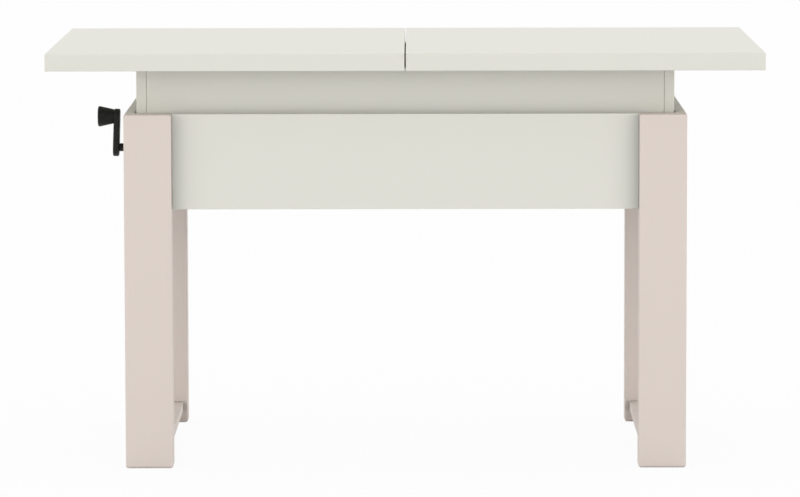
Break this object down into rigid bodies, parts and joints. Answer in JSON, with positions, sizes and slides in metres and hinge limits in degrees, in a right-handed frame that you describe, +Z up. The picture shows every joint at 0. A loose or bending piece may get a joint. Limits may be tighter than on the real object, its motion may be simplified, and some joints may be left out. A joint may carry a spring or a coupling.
{
  "type": "convertible coffee dining table",
  "caption": "Coffee table whose top cranks up to dining height on a hidden scissor lift and slides apart in two halves for a stored leaf.",
  "frame": {"origin": "on the floor under the middle of the top", "axes": "+X along the table away from the crank, -Y is the front, +Z is up"},
  "size_m": [1.144, 0.65, 0.671],
  "materials": {
    "white_laminate": "matt off-white melamine-faced board",
    "cashmere_laminate": "matt cashmere melamine-faced board",
    "zinc_plated_steel": "bright zinc plate",
    "black_steel": "black powder coat",
    "aluminium_profile": "natural anodised",
    "black_plastic": "satin moulded black",
    "grey_nylon": "moulded grey nylon",
    "bronze_nut": "turned bronze",
    "zinc_fitting": "die-cast zinc",
    "white_nylon": "moulded white nylon"
  },
  "bodies": {
    "frame": {"leg_front_left": "cashmere_laminate", "leg_front_right": "cashmere_laminate", "leg_back_left": "cashmere_laminate", "leg_back_right": "cashmere_laminate", "apron_front": "white_laminate", "apron_back": "white_laminate", "apron_left": "white_laminate", "apron_right": "white_laminate", "stretcher_left": "cashmere_laminate", "stretcher_right": "cashmere_laminate", "foot_glides": "grey_nylon", "apron_cam_fittings": "zinc_fitting", "lift_cross_bar_left": "black_steel", "lift_cross_bar_right": "black_steel", "lift_base_rail_front": "zinc_plated_steel", "lift_base_rail_back": "zinc_plated_steel", "screw_stand_left": "black_steel", "screw_stand_right": "black_steel", "screw_bushes": "grey_nylon", "crank_bush": "black_plastic"},
    "lift_carriage": {"box_panel_front": "white_laminate", "box_panel_back": "white_laminate", "box_end_left": "white_laminate", "box_end_right": "white_laminate", "box_cam_fittings": "zinc_fitting", "lift_track_front": "zinc_plated_steel", "lift_track_back": "zinc_plated_steel", "lift_pivot_blocks": "grey_nylon", "slide_rail_front": "aluminium_profile", "slide_rail_back": "aluminium_profile", "leaf_support_left": "white_laminate", "leaf_support_right": "white_laminate", "extension_leaf": "white_laminate", "leaf_pins": "white_nylon"},
    "top_left": {"top_half_left": "white_laminate", "runner_left_front": "grey_nylon", "runner_left_back": "grey_nylon", "top_pins": "white_nylon"},
    "top_right": {"top_half_right": "white_laminate", "runner_right_front": "grey_nylon", "runner_right_back": "grey_nylon"},
    "crank": {"crank_arm": "black_plastic", "crank_screw": "black_steel", "crank_shaft": "zinc_plated_steel", "shaft_coupling": "zinc_plated_steel", "lead_screw": "zinc_plated_steel", "screw_collars": "zinc_plated_steel", "knob_axle": "zinc_plated_steel"},
    "knob": {"crank_knob": "black_plastic"},
    "nut": {"nut_block": "black_steel", "lead_nut": "bronze_nut"},
    "scissor_a": {"scissor_arm_a_front": "zinc_plated_steel", "scissor_arm_a_back": "zinc_plated_steel", "scissor_pivot_shaft": "zinc_plated_steel"},
    "scissor_b": {"scissor_arm_b_front": "zinc_plated_steel", "scissor_arm_b_back": "zinc_plated_steel", "scissor_slide_shaft": "zinc_plated_steel"},
    "track_rollers": {"track_rollers": "grey_nylon"},
    "base_rollers": {"base_rollers": "grey_nylon"}
  },
  "joints": [
    {"name": "table_lift", "type": "slide", "parent": "frame", "child": "lift_carriage", "axis": [0, 0, 1], "range_m": [-0.07, 0.06]},
    {"name": "top_left_slide", "type": "slide", "parent": "lift_carriage", "child": "top_left", "axis": [-1, 0, 0], "range_m": [0, 0.191]},
    {"name": "top_right_slide", "type": "slide", "parent": "lift_carriage", "child": "top_right", "axis": [1, 0, 0], "range_m": [0, 0.191]},
    {"name": "crank_turn", "type": "hinge", "parent": "frame", "child": "crank", "pos_m": [-0.4783, 0, 0.4945], "axis": [1, 0, 0], "range_deg": [-1712.98, 1468.27]},
    {"name": "knob_spin", "type": "hinge", "parent": "crank", "child": "knob", "pos_m": [-0.47665, 0, 0.5458], "axis": [1, 0, 0], "continuous": true},
    {"name": "nut_travel", "type": "slide", "parent": "frame", "child": "nut", "axis": [-1, 0, 0], "range_m": [-0.01903, 0.01631]},
    {"name": "scissor_a_swing", "type": "hinge", "parent": "frame", "child": "scissor_a", "pos_m": [-0.25754, 0, 0.4358], "axis": [0, -1, 0], "range_deg": [-8.02, 6.87]},
    {"name": "scissor_b_swing", "type": "hinge", "parent": "scissor_a", "child": "scissor_b", "pos_m": [-0.00733, 0, 0.5065], "axis": [0, 1, 0], "range_deg": [-16.03, 13.74]},
    {"name": "track_roller_spin", "type": "hinge", "parent": "scissor_a", "child": "track_rollers", "pos_m": [0.24287, 0, 0.5772], "axis": [0, 1, 0], "continuous": true},
    {"name": "base_roller_spin", "type": "hinge", "parent": "scissor_b", "child": "base_rollers", "pos_m": [0.24287, 0, 0.4358], "axis": [0, 1, 0], "continuous": true}
  ],
  "couplings": [
    {"joint": "crank_turn", "follows": "table_lift", "rad_per_m": 427.06},
    {"joint": "nut_travel", "follows": "table_lift", "ratio": 0.27187},
    {"joint": "scissor_a_swing", "follows": "table_lift", "rad_per_m": 1.9985},
    {"joint": "scissor_b_swing", "follows": "table_lift", "rad_per_m": 3.997}
  ]
}
